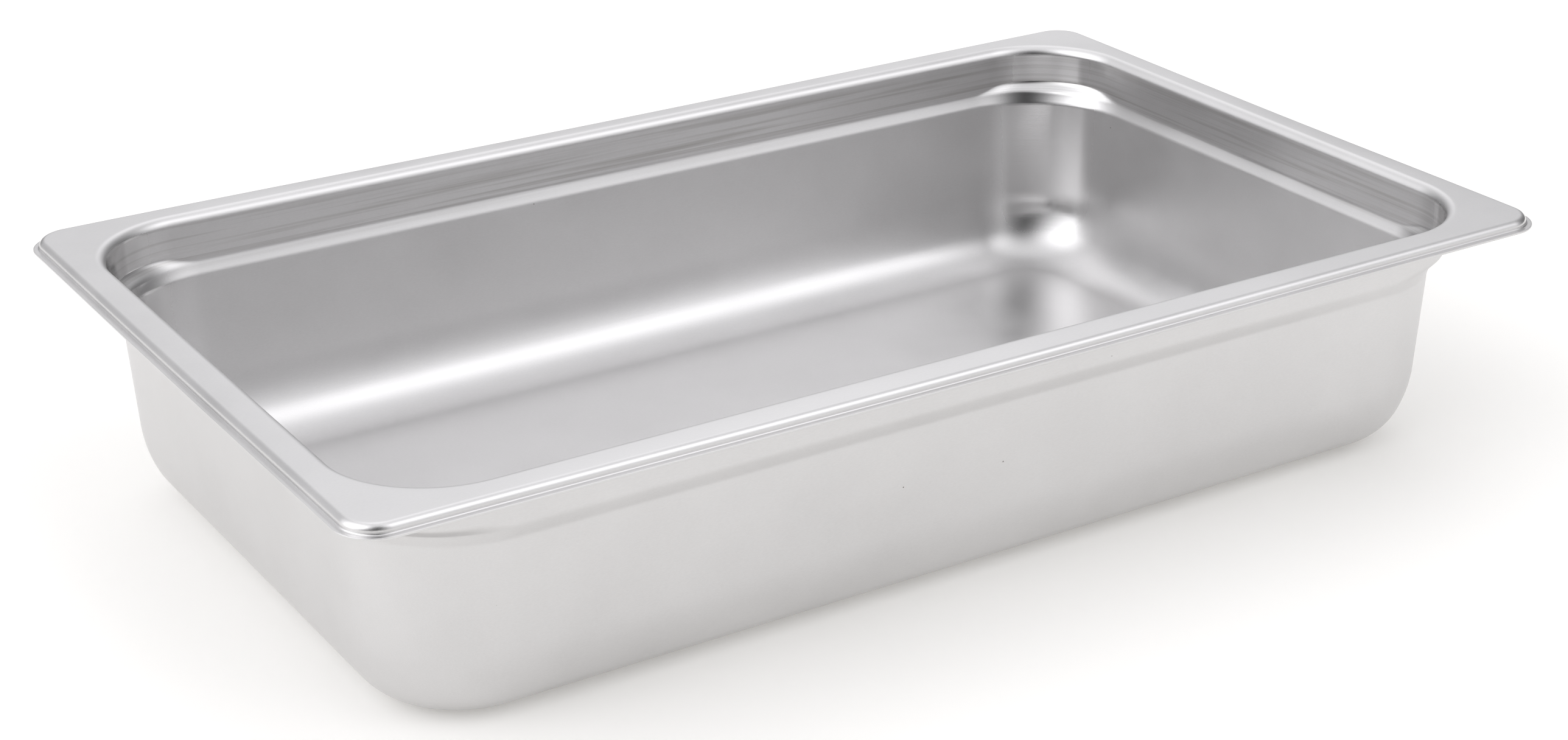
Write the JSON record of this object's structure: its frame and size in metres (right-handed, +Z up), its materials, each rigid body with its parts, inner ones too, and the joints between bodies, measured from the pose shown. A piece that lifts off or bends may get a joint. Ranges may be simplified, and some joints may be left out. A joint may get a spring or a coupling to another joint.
{
  "type": "food pan",
  "caption": "Deep-drawn rectangular stainless food pan, open at the top, with a wide flange to hang in a counter well and a stacking shoulder below it.",
  "frame": {"origin": "centre of the floor, on its underside", "axes": "+Z up out of the open mouth, X along the length, Y across the width"},
  "size_m": [0.527, 0.324, 0.102],
  "materials": {
    "stainless_sheet": "satin"
  },
  "bodies": {
    "root": {"pan": "stainless_sheet"}
  },
  "joints": []
}
